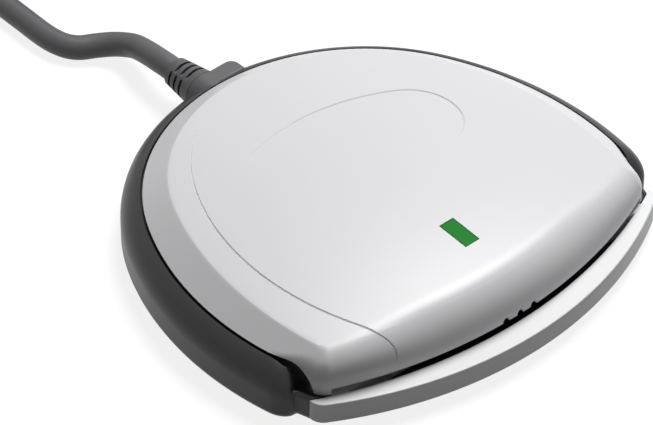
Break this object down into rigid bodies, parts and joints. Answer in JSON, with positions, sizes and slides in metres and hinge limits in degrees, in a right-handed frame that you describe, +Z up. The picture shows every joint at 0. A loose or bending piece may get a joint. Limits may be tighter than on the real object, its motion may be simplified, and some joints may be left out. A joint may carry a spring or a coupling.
{
  "type": "smart card reader",
  "caption": "Low domed desktop reader with a front slot and lip for a chip card, sprung contact blades inside and a USB cable.",
  "frame": {"origin": "on the surface it stands on, below the middle of the case (cable, gland and sleeve left out)", "axes": "+Z up, card slot and lip towards -Y, cable leaves towards +Y, +X to the right seen from the front"},
  "size_m": [0.0982, 0.1565, 0.013],
  "materials": {
    "cover": "light grey moulded plastic, very fine texture",
    "base": "near black moulded plastic, satin",
    "shelf": "light grey moulded plastic, as the cover",
    "window": "tinted green translucent plastic",
    "gland": "near black plastic",
    "relief": "black flexible sleeve",
    "board": "green solder mask",
    "frame": "black glass-filled plastic",
    "blade": "gold plated spring strip",
    "tail": "gold plated strip, tinned end",
    "chip": "black moulded package",
    "lead": "tinned leads",
    "can": "bright metal can",
    "ceramic": "tan ceramic with tinned ends",
    "resistor": "black film on white ceramic",
    "led": "clear lens on a white base",
    "nylon": "natural white nylon",
    "red": "red insulation",
    "white": "white insulation",
    "green": "green insulation",
    "black": "black insulation",
    "cable": "black cable jacket, satin",
    "tie": "dark strap",
    "steel": "zinc plated steel",
    "foot": "black rubber",
    "grip": "black overmoulded grip",
    "shell": "nickel plated sheet",
    "tongue": "white plastic"
  },
  "bodies": {
    "case": {"top_cover": "cover", "base_shell": "base", "card_shelf": "shelf", "led_window": "window", "cable_gland": "gland", "strain_relief": "relief", "circuit_board": "board", "connector_frame": "frame", "contact_tails": "tail", "detect_contact": "tail", "reader_chip": "chip", "chip_legs": "lead", "crystal": "can", "capacitors": "ceramic", "reservoir_capacitor": "can", "resistors": "resistor", "led_chip": "led", "cable_header": "nylon", "header_pins": "lead", "crimp_housing": "nylon", "crimp_terminals": "lead", "wire_red": "red", "wire_white": "white", "wire_green": "green", "wire_black": "black", "inner_cable": "cable", "board_screws": "steel", "case_screws": "steel", "rubber_feet": "foot", "cord_stretch": "cable", "cord_coil": "cable", "cord_tie": "tie", "plug_boot": "grip", "plug_body": "grip", "usb_shell": "shell", "usb_tongue": "tongue", "usb_contacts": "blade"},
    "front_row": {"contacts_front": "blade"},
    "rear_row": {"contacts_rear": "blade"},
    "switch_blade": {"detect_lever": "blade"}
  },
  "joints": [
    {"name": "front_row_lift", "type": "hinge", "parent": "case", "child": "front_row", "pos_m": [0.00309, -0.01347, 0.00632], "axis": [1, 0, 0], "range_deg": [0, 6], "stiffness_Nm_per_rad": 0.002},
    {"name": "rear_row_lift", "type": "hinge", "parent": "case", "child": "rear_row", "pos_m": [0.00309, 0.00735, 0.00632], "axis": [-1, 0, 0], "range_deg": [0, 6], "stiffness_Nm_per_rad": 0.002},
    {"name": "card_switch", "type": "hinge", "parent": "case", "child": "switch_blade", "pos_m": [0.018, 0.01213, 0.00535], "axis": [0, 0, -1], "range_deg": [0, 5.74], "stiffness_Nm_per_rad": 0.001}
  ],
  "couplings": [
    {"joint": "rear_row_lift", "follows": "front_row_lift", "ratio": 1}
  ]
}
